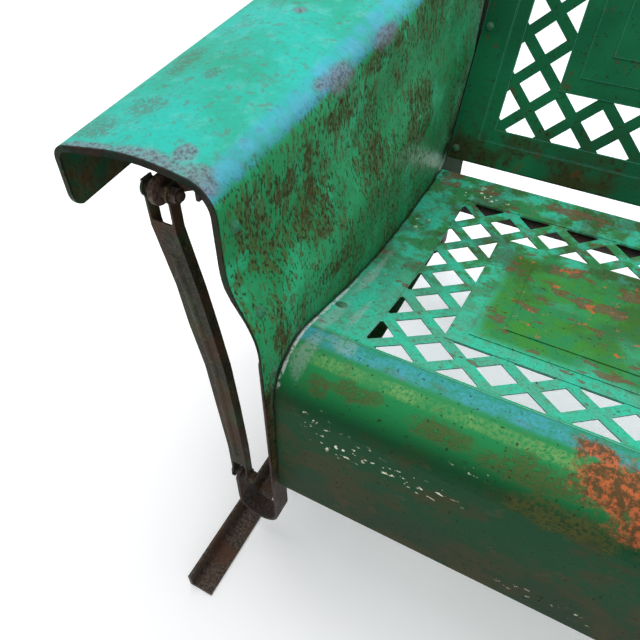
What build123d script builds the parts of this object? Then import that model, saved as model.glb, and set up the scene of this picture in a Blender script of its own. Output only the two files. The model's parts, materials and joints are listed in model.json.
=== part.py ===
from build123d import *
import os
from math import cos, radians, sin

# A three-seat porch glider in pressed and pierced sheet steel. The seat body hangs on
# four swing links from a standing base of steel angle. Millimetres, +Z up, +X along
# the seat, -Y to the front. The origin is on the floor, under the middle of the glider.

os.makedirs("parts", exist_ok=True)

# ---- driving dimensions: pierced lattice -------------------------------------------
PITCH = 64.0            # spacing of the diamonds along the seat
ROW_PITCH = 60.0        # spacing of the diamonds from front to rear in the seat
BACK_PITCH = 63.5       # spacing of the diamonds up the back
BAYS = 3                # solid pressed panels side by side
BAY = 7                 # pitches from one pierced band to the next
ROWS = 4                # pitches between the front and the rear pierced band
DIAMOND_X = 21.5        # half width of a diamond hole
DIAMOND_Y = 21.0        # half height of a diamond hole
BAND_EDGE = 3.0         # the outer half diamonds reach this far past the lattice line
SHEET = 1.5             # thickness of every pressed sheet
EMBOSS = [(0.35, 1.2), (0.85, 2.6)]   # inset of each pressed step, in pitches, and its rise
RECESS = 1.2            # the pierced bands are pressed this far into their panel
LEDGE = 0.6             # flat left between the holes and the edge of the recess
GROOVE_X = 0.85         # scored line beside the lattice, in pitches past its first column
GROOVE_Y = 1.34         # the same below and above the lattice of the back, past its first row
GROOVE = (1.6, 0.5)     # width and depth of the scored line

# ---- driving dimensions: seat body -------------------------------------------------
PAN_HALF = 766.0        # half length of the seat pan and the back
SIDE_X = 768.0          # inner face of the side panels, beside the seat
BODY_Y = 328.0          # front and rear edge of the side panels
DATUM_Y = -179.0        # first row of diamonds in the seat
DATUM_Z = 335.0         # height that the seat's section is measured from
APRON_BOTTOM = 153.0    # lower edge of the apron and the side panels
APRON_FACE_Y = -315.0   # apron front face, just under the front roll
APRON_BOTTOM_Y = -321.0
ROLL_RADIUS = 56.0      # rolled front edge of the seat
DISH_RADIUS = 1080.0    # hollow of the seat from front to rear
RECLINE = 23.6          # back, from upright
BACK_FOOT_Y = 203.0     # lower edge of the back
BACK_FOOT_Z = 318.0
BACK_ROW0 = 121.0       # first row of diamonds, up from the lower edge of the back
BACK_TOP = 488.0        # straight height of the back, up its slope
BACK_ROLL = 12.0        # radius of the rolled top edge
BACK_BEND_R = 3.0       # bend at its lower edge
PAN_REAR_Y = 184.0      # rear edge of the pan
HOLLOW_Y = -41.5        # where the slopes of the hollow would meet
SEAT_SCREW_X = 754.0    # screws down each end of the pan
SEAT_SCREWS_Y = [-188.0, 172.0]
PAN_FLANGE = 20.0       # flange turned down along each end of the seat pan
UNDERFRAME = 3.0        # wall of the angles and bars under the seat
BRACE_HALF = 15.0       # half width of a seat brace
BRACE_FRONT = (-283.9, 313.8)   # y and z of its front end
BRACE_SLOPE = -0.0726
CROSS_RAIL_Z = 166.0    # lower edge of the rails between the side panels
FRONT_RAIL_Y = -300.0
REAR_RAIL_Y = 325.0

# ---- driving dimensions: arms and side panels -----------------------------------------
ARM_FRONT_X = -793.5    # inner face of the side panel, above its bend, at the front
ARM_REAR_X = -773.0     # the same at the rear, where the bend fades out
ARM_RISE = 0.085        # the arms climb to the rear, height over depth
LIP_X = -952.0          # outer edge of an arm
LIP_LOW_Z = 490.0       # lower edge of its lip, at the front
LIP_HIGH_Z = 554.0
LIP_CORNER_R = 18.0
CROWN = (-867.0, 570.0)     # highest line of the arm, at the front
SHOULDER_Z = 559.0      # height of the arm over the side panel, at the front
BEND_LOW_Z = 407.0      # the side panel bends outward between these heights, at the front
BEND_HIGH_Z = 467.0
BEND_R = 96.0
PLATE_TOP_Z = 370.0     # below this height the side panel is flat
ARM_RADII = [16.0, 200.0, 29.0, BEND_R, BEND_R]     # bends of the arm panel, from the lip
FLANGE = 5.5            # stiffening flange round the front and rear of an arm panel
FLANGE_FOOT = [(0.30, 0.85), (0.75, 4.4)]   # share of the bend, and depth of the flange there
FOOT_FLANGE = 16.0      # flange turned in along the lower edge of a side panel
RIVET_Y = -308.0        # rivets up the front edge of a side panel
PANEL_RIVETS_Z = [352.0, 429.0, 515.5]
POST_HALF = 12.0        # half width of the bar that the upper rivets hold
POST_GAP = 0.6          # it stands off the bend of the panel by this much

# ---- driving dimensions: swing linkage ---------------------------------------------
PIN_Y = 311.5           # all pins, in front of and behind the middle
UPPER_PIN_X = 860.0
UPPER_PIN_Z = 531.0
LOWER_PIN_X = 826.0
LOWER_PIN_Z = 119.0
BOLT_R = 4.0            # pivot bolts
RUNNING = 0.05          # radial clearance of a running pivot
OPEN = 0.25             # radial clearance of the lower pivots that the tree leaves open
LINK_SHEET = 2.0
LINK_DEPTH = 12.0       # link channel, front to rear
UPPER_HALF = 13.0       # half width of a link over its upper ears
LOWER_HALF = 11.0       # the same over its lower ears
EAR_R = 9.0             # rounded end of each ear
SPACER_R = 5.5
RIB_R = 6.0             # rib down the web of a link
RIB_RISE = 2.0
TONGUE = 5.0            # pivot bracket plate
EYE_R = 13.0            # end of the pivot bracket round its pin
STRAP = 4.0             # hanger strap thickness
STRAP_WIDTH = 26.0
STRAP_TOP_Z = 385.0
STRAP_LOW_Z = 47.0      # lowest point of the hanger strap, on its centre line
HANGER_BOLTS_Z = [180.0, 260.0]

# ---- driving dimensions: base ------------------------------------------------------
BASE_X = 844.0          # outer face of the rails and the top bars
RAIL_Y = 429.0          # half length of a floor rail
ANGLE_WALL = 4.0
RAIL_LEG = 33.0         # leg that lies on the floor
RAIL_HEIGHT = 25.0
BROKEN_EDGE = 1.2       # rounding of the edges and roots of the base's angles
UPRIGHT_WALL = 5.0
UPRIGHT_WIDTH = 32.0
UPRIGHT_FOOT_Y = 185.0  # middle of an upright at the floor
UPRIGHT_LEAN = 50.0     # it leans out by this much on its way to the top bar
TOP_BAR_Z = 550.0       # upper face of the top bars
TOP_BAR_HEIGHT = 38.0
TOP_BAR_Y = 290.0       # half length of a top bar
TOP_BAR_LEG = 29.0      # leg that reaches outboard under the arm
STRETCHERS_Y = [-150.0, -20.0]
STRETCHER_LEG = 33.0    # leg that lies on the rails
STRETCHER_HEIGHT = 28.0
STRETCHER_RIVET_X = -824.0
STRETCHER_RIVET_IN = 17.0   # from the corner of the stretcher
RAIL_BOLT_Z = 15.0      # bolts through the uprights
TOP_BOLT_Z = 526.0
BRACKET_BOLTS_Z = [524.0, 538.0]
BRACKET_BOLT_Y = -268.0
SMALL_BOLT_R = 3.0

SIDES = {"left": -1, "right": 1}
ENDS = {"front": -1, "rear": 1}


# ---- shared shapes ------------------------------------------------------------------
def offset_points(points, distance):
    """Corners of a path moved to its left by distance, each run staying parallel."""
    runs = [(Vector(*b) - Vector(*a)).normalized() for a, b in zip(points, points[1:])]
    lefts = [Vector(-run.Y, run.X) for run in runs]
    moved = [Vector(*points[0]) + lefts[0] * distance]
    for i in range(1, len(runs)):
        mitre = lefts[i - 1] + lefts[i]
        moved.append(Vector(*points[i]) + mitre * (distance / (0.5 * mitre.length ** 2)))
    moved.append(Vector(*points[-1]) + lefts[-1] * distance)
    return [(p.X, p.Y) for p in moved]


def offset_radii(points, radii, distance):
    """Bend radii of the same path moved to its left by distance."""
    moved = []
    for a, b, c, radius in zip(points, points[1:], points[2:], radii):
        turn = (b[0] - a[0]) * (c[1] - b[1]) - (b[1] - a[1]) * (c[0] - b[0])
        moved.append(max(radius - distance if turn > 0 else radius + distance, 0.2))
    return moved


def section(points, radii, near=0.0, far=SHEET):
    """Section of a bent sheet that lies from near to far on the left of a path."""
    faces = []
    for distance in (near, far):
        line = FilletPolyline(*offset_points(points, distance), radius=offset_radii(points, radii, distance))
        faces.append(line)
    ends = [Line(faces[0] @ 1, faces[1] @ 1), Line(faces[0] @ 0, faces[1] @ 0)]
    return make_face(faces[0].edges() + faces[1].edges() + ends)


def on_side(solid, side):
    """Parts are drawn for the left hand side; the right one is its mirror image."""
    return solid if side == "left" else mirror(solid, about=Plane.YZ)


def at_end(solid, end):
    """Parts are drawn at the front; the rear one is its mirror image."""
    return solid if end == "front" else mirror(solid, about=Plane.XZ)


def box(x0, x1, y0, y1, z0, z1):
    size = (x1 - x0, y1 - y0, z1 - z0)
    centre = ((x0 + x1) / 2, (y0 + y1) / 2, (z0 + z1) / 2)
    return Pos(*centre) * Box(*size)


def along_x(sketch, x0, x1):
    """Solid with a YZ section, from x0 to x1."""
    return extrude(Pos(x0, 0, 0) * (Plane.YZ * sketch), x1 - x0, dir=(1, 0, 0))


def along_y(sketch, y0, y1):
    """Solid with an XZ section, from y0 to y1."""
    return extrude(Pos(0, y0, 0) * (Plane.XZ * sketch), y1 - y0, dir=(0, 1, 0))


def rod_x(x0, x1, y, z, radius):
    """Round bar along X."""
    return Pos((x0 + x1) / 2, y, z) * Rot(0, 90, 0) * Cylinder(radius, x1 - x0)


def dome(point, direction, radius, height):
    """Round rivet or bolt head, standing on point and facing direction."""
    ball_r = (radius ** 2 + height ** 2) / (2 * height)
    ball = Pos(0, 0, height - ball_r) * Sphere(ball_r)
    cap = ball & Pos(0, 0, height / 2) * Cylinder(radius, height)
    return Plane(origin=point, z_dir=direction).location * cap


def shank(point, direction, radius, length):
    """Round shank that starts at point and runs along direction."""
    return Plane(origin=point, z_dir=direction).location * Pos(0, 0, length / 2) * Cylinder(radius, length)


def rivet(point, direction, grip, radius=SMALL_BOLT_R):
    """Rivet with a dome on each side of a grip. It starts on the face at point."""
    axis = Vector(*direction)
    far = Vector(*point) - axis * grip
    body = shank(far, axis, radius, grip)
    return body + dome(point, axis, 2 * radius, 1.1 * radius) + dome(far, axis * -1, 1.8 * radius, radius)


def hex_bolt(point, direction, grip, radius=SMALL_BOLT_R):
    """Bolt with a domed head at point and a hexagon nut beyond the grip."""
    axis = Vector(*direction)
    far = Vector(*point) - axis * grip
    across = 1.8 * radius
    nut = extrude(RegularPolygon(across, 6), 1.6 * radius)
    nut = Plane(origin=far, z_dir=axis * -1).location * nut
    tail = shank(far, axis * -1, radius, 2.3 * radius)
    return shank(far, axis, radius, grip) + dome(point, axis, 1.9 * radius, 1.2 * radius) + nut + tail


def drill(point, direction, radius, reach=20.0):
    """Round cutter centred on a point, long enough for every sheet beside it."""
    return shank(Vector(*point) - Vector(*direction) * (reach / 2), direction, radius, reach)


# ---- pierced lattice ----------------------------------------------------------------
def lattice_x(index):
    return (index - BAYS * BAY / 2) * PITCH


def lattice_sketch(row_pitch):
    """Every hole of one pierced panel, with the first row of full diamonds at y = 0."""
    left, right = lattice_x(-0.5), lattice_x(BAYS * BAY + 0.5)
    low, high = -row_pitch, (ROWS + 1) * row_pitch
    depth = high - low + 2 * BAND_EDGE
    bands = [Pos(lattice_x(k * BAY), ROWS * row_pitch / 2) * Rectangle(PITCH, depth) for k in range(BAYS + 1)]
    bands[0] += Pos(left, ROWS * row_pitch / 2) * Rectangle(2 * BAND_EDGE, depth)
    bands[-1] += Pos(right, ROWS * row_pitch / 2) * Rectangle(2 * BAND_EDGE, depth)
    width = right - left + 2 * BAND_EDGE
    for edge_y in (low, high):
        inner = edge_y + (row_pitch if edge_y < 0 else -row_pitch)
        reach = abs(edge_y - inner) + BAND_EDGE
        middle = (inner + edge_y) / 2 + (BAND_EDGE / 2 if edge_y > 0 else -BAND_EDGE / 2)
        bands.append(Pos(0, middle) * Rectangle(width, reach))
    diamonds = []
    for i in range(-1, 2 * BAYS * BAY + 2):
        for j in range(-2, 2 * ROWS + 3):
            if (i - j) % 2 == 0 and in_bands(i / 2, j / 2):
                diamonds.append(diamond(lattice_x(i / 2), j / 2 * row_pitch))
    area = Sketch() + bands
    return area & (Sketch() + diamonds)


def in_bands(column, row):
    """True where a diamond of the lattice falls on a pierced band."""
    past_band = column % BAY
    return min(past_band, BAY - past_band) <= 0.5 or row <= 0 or row >= ROWS


def diamond(x, y):
    corners = [(DIAMOND_X, 0), (0, DIAMOND_Y), (-DIAMOND_X, 0), (0, -DIAMOND_Y)]
    return Pos(x, y) * Polygon(*corners, align=None)


def bay_boxes(inset, row_pitch, z0, z1):
    """Blocks over the pressed middle of each bay, inset in pitches from its pierced bands."""
    blocks = []
    for bay in range(BAYS):
        x0 = lattice_x(bay * BAY + 0.5 + inset)
        x1 = lattice_x((bay + 1) * BAY - 0.5 - inset)
        blocks.append(box(x0, x1, inset * row_pitch, (ROWS - inset) * row_pitch, z0, z1))
    return blocks


def band_frame(grow, row_pitch, z0, z1):
    """Block over all the pierced bands, grown past their holes by a margin."""
    reach = BAND_EDGE + grow
    outer = box(
        lattice_x(-0.5) - reach, lattice_x(BAYS * BAY + 0.5) + reach,
        -row_pitch - reach, (ROWS + 1) * row_pitch + reach,
        z0, z1,
    )
    return outer - bay_boxes(grow / PITCH, row_pitch, z0 - 1, z1 + 1)


# ---- seat pan -----------------------------------------------------------------------
def pan_line():
    """Upper face of the pan in the YZ plane, rear flange first, with its bend radii."""
    rear_z = DATUM_Z - 26
    hollow_z = DATUM_Z - 42
    roll_z = DATUM_Z + 50
    points = [
        (PAN_REAR_Y, rear_z - 22),
        (PAN_REAR_Y, rear_z),
        (HOLLOW_Y, hollow_z),
        (APRON_FACE_Y, roll_z),
        (APRON_BOTTOM_Y, APRON_BOTTOM),
        (APRON_BOTTOM_Y + 16, APRON_BOTTOM),
    ]
    return points, [4.0, DISH_RADIUS, ROLL_RADIUS, 3.0]


def pan_flange():
    """Flange turned down along one end of the pan, from the roll to the rear edge."""
    points, _ = pan_line()
    skirt = along_x(section(points[1:4], [DISH_RADIUS], 0.1, PAN_FLANGE), 0, SHEET)
    return skirt & box(0, SHEET, APRON_FACE_Y + 75, points[1][0] - 5, 0, 2 * DATUM_Z)


def seat_pan():
    points, radii = pan_line()
    sheet = along_x(section(points, radii), -PAN_HALF, PAN_HALF)
    for inset, rise in EMBOSS:
        thick = section(points[1:4], [DISH_RADIUS], -rise, 0.1)
        raised = along_x(thick, -PAN_HALF, PAN_HALF)
        for block in bay_boxes(inset, ROW_PITCH, DATUM_Z - 80, DATUM_Z + 80):
            sheet += raised & (Pos(0, DATUM_Y, 0) * block)
    low, high = DATUM_Z - 80, DATUM_Z + 80
    under = along_x(section(points[1:4], [DISH_RADIUS], SHEET - 0.1, SHEET + RECESS), -PAN_HALF, PAN_HALF)
    over = along_x(section(points[1:4], [DISH_RADIUS], -5, RECESS), -PAN_HALF, PAN_HALF)
    sheet += under & (Pos(0, DATUM_Y, 0) * band_frame(LEDGE + SHEET, ROW_PITCH, low, high))
    sheet -= over & (Pos(0, DATUM_Y, 0) * band_frame(LEDGE, ROW_PITCH, low, high))
    width, depth = GROOVE
    scored = along_x(section(points[1:4], [DISH_RADIUS], -5, depth), -PAN_HALF, PAN_HALF)
    for way in (-1, 1):
        x = way * (lattice_x(BAYS * BAY) + GROOVE_X * PITCH)
        groove = box(x - width / 2, x + width / 2, DATUM_Y - 1.1 * ROW_PITCH, PAN_REAR_Y - 6, low, high)
        sheet -= scored & groove
    sheet -= [drill(point, facing, SMALL_BOLT_R) for point, facing in seat_screw_places()]
    sheet -= extrude(Pos(0, DATUM_Y, low) * lattice_sketch(ROW_PITCH), high - low)
    for end in (-PAN_HALF, PAN_HALF - SHEET):
        sheet += Pos(end, 0, 0) * pan_flange()
    return sheet


def pan_arc_centre():
    """Centre, in the YZ plane, of the arc that touches the front and rear slopes of the pan."""
    points, _ = pan_line()
    rear, low, front = [Vector(*point) for point in points[1:4]]
    to_rear = (rear - low).normalized()
    middle = (to_rear + (front - low).normalized()).normalized()
    return low + middle * (DISH_RADIUS / middle.cross(to_rear).length)


def seat_screw_places():
    """Screws down the ends of the pan, and the way that each one faces."""
    centre = pan_arc_centre()
    places = []
    for y in SEAT_SCREWS_Y:
        rise = (DISH_RADIUS ** 2 - (y - centre.X) ** 2) ** 0.5
        facing = (0, (centre.X - y) / DISH_RADIUS, rise / DISH_RADIUS)
        places += [((way * SEAT_SCREW_X, y, centre.Y - rise), facing) for way in (-1, 1)]
    return places


def seat_screws():
    """Low round heads on the pan, with the ends of the screws below it."""
    screws = []
    for point, facing in seat_screw_places():
        low = Vector(*point) - Vector(*facing) * 9
        seat = Vector(*point) + Vector(*facing) * 0.04   # the head only touches the hollow pan at its rim
        screws.append(shank(low, facing, SMALL_BOLT_R, 9.1) + dome(seat, facing, 7.0, 2.2))
    return screws


def seat_rear_rail():
    """Angle under the rear edge of the pan, drilled for its screws."""
    inside_y = PAN_REAR_Y - SHEET - 0.1
    rail = angle_along_x(inside_y, 304.9, -28, -21, UNDERFRAME, PAN_HALF - SHEET)
    return rail - [drill(point, facing, SMALL_BOLT_R) for point, facing in seat_screw_places()]


# ---- back -----------------------------------------------------------------------------
def back_plane(x=0.0, up=0.0):
    """Plane on the front face of the back: x along the seat, y up the slope, z to the front."""
    lean = radians(RECLINE)
    origin = (x, BACK_FOOT_Y + up * sin(lean), BACK_FOOT_Z + up * cos(lean))
    return Plane(origin=origin, x_dir=(1, 0, 0), z_dir=(0, -cos(lean), sin(lean)))


def on_back(solid):
    return back_plane().location * solid


def back_panel():
    top = BACK_TOP + BACK_ROLL
    behind = 2 * BACK_ROLL
    points = [(14, 0), (0, 0), (0, top), (behind, top), (behind, BACK_TOP - 8)]
    profile = section(points, [BACK_BEND_R, BACK_ROLL - 0.1, BACK_ROLL - 0.1], 0.0, -SHEET)
    lean = radians(RECLINE)
    plane = Plane(origin=back_plane().origin, x_dir=(0, cos(lean), -sin(lean)), z_dir=(1, 0, 0))
    sheet = extrude(plane * profile, PAN_HALF, both=True)
    for inset, rise in EMBOSS:
        for block in bay_boxes(inset, BACK_PITCH, -SHEET / 2, rise):
            sheet += on_back(Pos(0, BACK_ROW0, 0) * block)
    for end in (-PAN_HALF, PAN_HALF - SHEET):
        sheet += on_back(box(end, end + SHEET, 2, BACK_TOP, -18, -SHEET / 2))
    move = Pos(0, BACK_ROW0, 0)
    sheet += on_back(move * band_frame(LEDGE + SHEET, BACK_PITCH, -SHEET - RECESS, -SHEET + 0.1))
    sheet -= on_back(move * band_frame(LEDGE, BACK_PITCH, -RECESS, 5))
    width, depth = GROOVE
    x = lattice_x(BAYS * BAY) + GROOVE_X * PITCH
    low, high = -GROOVE_Y * BACK_PITCH, (ROWS + GROOVE_Y) * BACK_PITCH
    scored = box(-x - width / 2, x + width / 2, low - width / 2, high + width / 2, -depth, 5)
    scored -= box(-x + width / 2, x - width / 2, low + width / 2, high - width / 2, -depth - 1, 6)
    sheet -= on_back(move * scored)
    holes = extrude(Pos(0, BACK_ROW0) * lattice_sketch(BACK_PITCH), 10, both=True)
    notch = box(-BRACE_HALF - 1, BRACE_HALF + 1, -2, 5, -20, -SHEET)
    cutters = [Pos(lattice_x(band * BAY), 0, 0) * notch for band in range(1, BAYS)]
    for side in SIDES:
        cutters += [Pos(x, up, 0) * Cylinder(SMALL_BOLT_R, 20) for x, up in back_bolt_places(side)]
    return sheet - on_back(holes) - [on_back(cutter) for cutter in cutters]


def back_bolt_places(side):
    """Screws down the side of the back, as points in the plane of the back."""
    x = SIDES[side] * (PAN_HALF - 9.5)
    return [(x, up) for up in (16.0, BACK_ROW0 + BACK_PITCH, BACK_ROW0 + 3.6 * BACK_PITCH)]


def back_angle(side):
    """Angle behind the side edge of the back, screwed to it and riveted to the side panel."""
    edge = PAN_HALF - SHEET
    leg = box(-edge, -edge + 30, 6, 400, -SHEET - UNDERFRAME, -SHEET)
    leg += box(-edge, -edge + UNDERFRAME, 6, 400, -26, -SHEET)
    leg -= [Pos(x, up, 0) * Cylinder(SMALL_BOLT_R, 20) for x, up in back_bolt_places("left")]
    return on_side(on_back(leg), side)


def back_bolts():
    normal = back_plane().z_dir
    bolts = []
    for side in SIDES:
        for x, up in back_bolt_places(side):
            point = back_plane(x, up).origin
            bolts.append(hex_bolt(point, tuple(normal), SHEET + UNDERFRAME))
    return bolts


# ---- arm and side panels ----------------------------------------------------------------
def arm_points(upper_x, rise):
    """Outer skin of one end of an arm panel, seen from the front: lip, arm top, bent side."""
    return [
        (LIP_X, LIP_LOW_Z + rise),
        (LIP_X, LIP_HIGH_Z + rise),
        (CROWN[0], CROWN[1] + rise),
        (upper_x, SHOULDER_Z + rise),
        (upper_x, BEND_HIGH_Z + rise),
        (-SIDE_X, BEND_LOW_Z + rise),
        (-SIDE_X, PLATE_TOP_Z),
    ]


def arm_climb(y):
    """How much higher the arm is at y than at its front edge."""
    return ARM_RISE * (y + BODY_Y)


def arm_end(end, near, far):
    """Section of the arm panel at its front or rear edge, between two depths under its skin."""
    upper_x = ARM_FRONT_X if end == "front" else ARM_REAR_X
    return section(arm_points(upper_x, arm_climb(ENDS[end] * BODY_Y)), ARM_RADII, -near, -far)


def arm_flange(end):
    """Stiffening flange turned in round one end of an arm panel."""
    edge_y = ENDS[end] * BODY_Y
    near, far = sorted((edge_y, edge_y - ENDS[end] * SHEET))
    flange = along_y(arm_end(end, SHEET / 2, FLANGE), near, far)
    return flange - along_y(flange_foot(end), near - 1, far + 1)


def flange_foot(end):
    """Outline, seen from the front, inside which the flange has run out down the bend."""
    upper_x = ARM_FRONT_X if end == "front" else ARM_REAR_X
    rise = arm_climb(ENDS[end] * BODY_Y)
    tapers = []
    for share, depth in FLANGE_FOOT:
        x = -SIDE_X + share * (upper_x + SIDE_X) - depth
        tapers.append((x, BEND_LOW_Z + rise + share * (BEND_HIGH_Z - BEND_LOW_Z)))
    inner_x, outer_x, top_z = -SIDE_X + 1, upper_x - FLANGE - 2, BEND_HIGH_Z + rise + 8
    outline = [(inner_x, 0), (inner_x, tapers[0][1]), *tapers, (outer_x, top_z)]
    outline += [(outer_x - FLANGE, top_z), (outer_x - FLANGE, 0)]
    return Polygon(*outline, align=None)


def lip_corner(end):
    """Cutter that rounds the lower corner of the lip at one end."""
    edge_y = ENDS[end] * BODY_Y
    low = LIP_LOW_Z + arm_climb(edge_y)
    centre_y = edge_y - ENDS[end] * LIP_CORNER_R
    centre_z = low + LIP_CORNER_R
    near, far = sorted((edge_y + ENDS[end], centre_y))
    x0, x1 = LIP_X - 5, LIP_X + 17
    corner = box(x0, x1, near, far, low - 8, centre_z)
    return corner - rod_x(x0 - 1, x1 + 1, centre_y, centre_z, LIP_CORNER_R)


def arm_panel(side):
    ends = [Pos(0, ENDS[end] * BODY_Y, 0) * (Plane.XZ * arm_end(end, 0, SHEET)) for end in ENDS]
    skin = loft([end.face() for end in ends], ruled=True)
    skin += [arm_flange(end) for end in ENDS]
    outer_x = -SIDE_X - SHEET
    skin += box(outer_x, -SIDE_X, -BODY_Y, BODY_Y, APRON_BOTTOM, PLATE_TOP_Z)
    skin += box(outer_x, -SIDE_X + FOOT_FLANGE, -298, 298, APRON_BOTTOM, APRON_BOTTOM + SHEET)
    cutters = [lip_corner(end) for end in ENDS]
    cutters += [drill(point, direction, SMALL_BOLT_R) for point, direction in panel_rivet_places()]
    for way in ENDS.values():
        cutters += [drill((-SIDE_X, way * PIN_Y, z), (1, 0, 0), SMALL_BOLT_R) for z in HANGER_BOLTS_Z]
    return on_side(skin - cutters, side)


def panel_x(y, z):
    """Seat face of the left side panel at a point, from its straight runs."""
    share = (y + BODY_Y) / (2 * BODY_Y)
    upper_x = ARM_FRONT_X + share * (ARM_REAR_X - ARM_FRONT_X)
    low = BEND_LOW_Z + arm_climb(y)
    part = min(max((z - low) / (BEND_HIGH_Z - BEND_LOW_Z), 0.0), 1.0)
    return -SIDE_X + part * (upper_x + SIDE_X)


def panel_rivet_places():
    """Rivets up the front edge of the left side panel, and the way that each one faces."""
    places = []
    for z in PANEL_RIVETS_Z:
        slope_z = (panel_x(RIVET_Y, z + 5) - panel_x(RIVET_Y, z - 5)) / 10
        slope_y = (panel_x(RIVET_Y + 5, z) - panel_x(RIVET_Y - 5, z)) / 10
        facing = Vector(1, -slope_y, -slope_z).normalized()
        places.append(((panel_x(RIVET_Y, z), RIVET_Y, z), (facing.X, facing.Y, facing.Z)))
    return places


def panel_rivets(side):
    rivets = []
    for (x, y, z), direction in panel_rivet_places():
        grip = SHEET + (STRAP if z < STRAP_TOP_Z else UNDERFRAME + 2.0)
        rivets.append(on_side(rivet((x, y, z), direction, grip), side))
    return rivets


def arm_post(side):
    """Flat bar behind the bend of the side panel, which stiffens its front edge."""
    points = [
        (ARM_FRONT_X, SHOULDER_Z - 21),
        (ARM_FRONT_X, BEND_HIGH_Z),
        (-SIDE_X, BEND_LOW_Z),
        (-SIDE_X, STRAP_TOP_Z + 2),
    ]
    gap = SHEET + POST_GAP
    bar = section(points, [BEND_R, BEND_R - 16], -gap, -gap - UNDERFRAME)
    post = along_y(bar, RIVET_Y - POST_HALF, RIVET_Y + POST_HALF)
    post -= [drill(point, direction, SMALL_BOLT_R) for point, direction in panel_rivet_places()[1:]]
    return on_side(post, side)


# ---- hanger straps and underframe ----------------------------------------------------------
def hanger_strap(side, end):
    """J-shaped strap that carries one corner of the seat body on its swing link."""
    left = -LOWER_PIN_X + STRAP / 2
    right = -SIDE_X - SHEET - STRAP
    low = STRAP_LOW_Z + STRAP / 2
    half = STRAP_WIDTH / 2
    points = [(left, LOWER_PIN_Z), (left, low), (right, low), (right, STRAP_TOP_Z - half)]
    bend = (right - left) / 2 - 0.05
    strap = along_y(section(points, [bend, bend], 0.0, -STRAP), -PIN_Y - half, -PIN_Y + half)
    strap += rod_x(left - STRAP, left, -PIN_Y, LOWER_PIN_Z, half)
    strap += rod_x(right, right + STRAP, -PIN_Y, STRAP_TOP_Z - half, half)
    slack = RUNNING if (side, end) == ("left", "front") else OPEN
    cutters = [drill((left, -PIN_Y, LOWER_PIN_Z), (1, 0, 0), BOLT_R + slack)]
    cutters += [drill((right, -PIN_Y, z), (1, 0, 0), SMALL_BOLT_R) for z in HANGER_BOLTS_Z]
    if end == "front":
        cutters.append(drill((right, RIVET_Y, PANEL_RIVETS_Z[0]), (1, 0, 0), SMALL_BOLT_R))
    return on_side(at_end(strap - cutters, end), side)


def hanger_bolts():
    bolts = []
    for side in SIDES:
        for way in ENDS.values():
            for z in HANGER_BOLTS_Z:
                head = (-SIDE_X - SHEET - STRAP, way * PIN_Y, z)
                bolts.append(on_side(hex_bolt(head, (-1, 0, 0), SHEET + STRAP), side))
    return bolts


def angle_along_x(y, z, depth, height, wall, half_length):
    """Angle along X with its corner at y, z. A negative depth or height turns that leg."""
    wall_y = y + (wall if depth > 0 else -wall)
    wall_z = z + (wall if height > 0 else -wall)
    upright = box(-half_length, half_length, *sorted((y, wall_y)), *sorted((z, z + height)))
    flat = box(-half_length, half_length, *sorted((y, y + depth)), *sorted((z, wall_z)))
    return upright + flat


def cross_rail(y, way):
    """Angle between the side panels, open towards the middle of the seat."""
    leg = 33
    return angle_along_x(y, CROSS_RAIL_Z, way * leg, leg, UNDERFRAME, SIDE_X)


def seat_front_rail():
    """Angle inside the front roll of the pan."""
    return angle_along_x(APRON_FACE_Y + 28, DATUM_Z + 19, 30, -40, UNDERFRAME, PAN_HALF - SHEET)


def seat_brace(middle):
    """Flat bar under a pierced band of the seat, bent up behind the same band of the back."""
    lean = radians(RECLINE)
    rear_face = back_plane().origin - back_plane().z_dir * (SHEET + RECESS)
    front_y, front_z = BRACE_FRONT
    # the bar's upper face meets the rear face of the back where the two lines cross
    tangent = sin(lean) / cos(lean)
    run = rear_face.Y - tangent * rear_face.Z - front_y
    z = (front_z + BRACE_SLOPE * run) / (1 - BRACE_SLOPE * tangent)
    y = rear_face.Y + tangent * (z - rear_face.Z)
    up = BACK_TOP - 10
    tip = (rear_face.Y + up * sin(lean), rear_face.Z + up * cos(lean))
    profile = section([(front_y, front_z), (y, z), tip], [14.0], 0.0, -UNDERFRAME - 1)
    return along_x(profile, middle - BRACE_HALF, middle + BRACE_HALF)


# ---- swing links ------------------------------------------------------------------------------
def link_outline(inset):
    """Front view of the left front link, lower end first, drawn in by inset at the sides."""
    stations = [
        (LOWER_PIN_Z - EAR_R, -LOWER_PIN_X, LOWER_HALF),
        (LOWER_PIN_Z + 63, -LOWER_PIN_X, LOWER_HALF),
        (LOWER_PIN_Z + 141, -LOWER_PIN_X - 4, 12.0),
        (LOWER_PIN_Z + 208, -LOWER_PIN_X - 8, 12.1),
        (LOWER_PIN_Z + 264, -UPPER_PIN_X + 18, 13.3),
        (UPPER_PIN_Z - 98, -UPPER_PIN_X + 12, 12.4),
        (UPPER_PIN_Z - 35, -UPPER_PIN_X, UPPER_HALF),
        (UPPER_PIN_Z + EAR_R, -UPPER_PIN_X, UPPER_HALF),
    ]
    left = [(x - half + inset, z) for z, x, half in stations]
    right = [(x + half - inset, z) for z, x, half in stations]
    return Polygon(*left, *reversed(right), align=None)


def pin_rows():
    """Place and half width of a link at its two pins, with the plate that runs between its ears."""
    return [
        (-UPPER_PIN_X, UPPER_PIN_Z, UPPER_HALF, TONGUE),
        (-LOWER_PIN_X, LOWER_PIN_Z, LOWER_HALF, STRAP),
    ]


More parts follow.
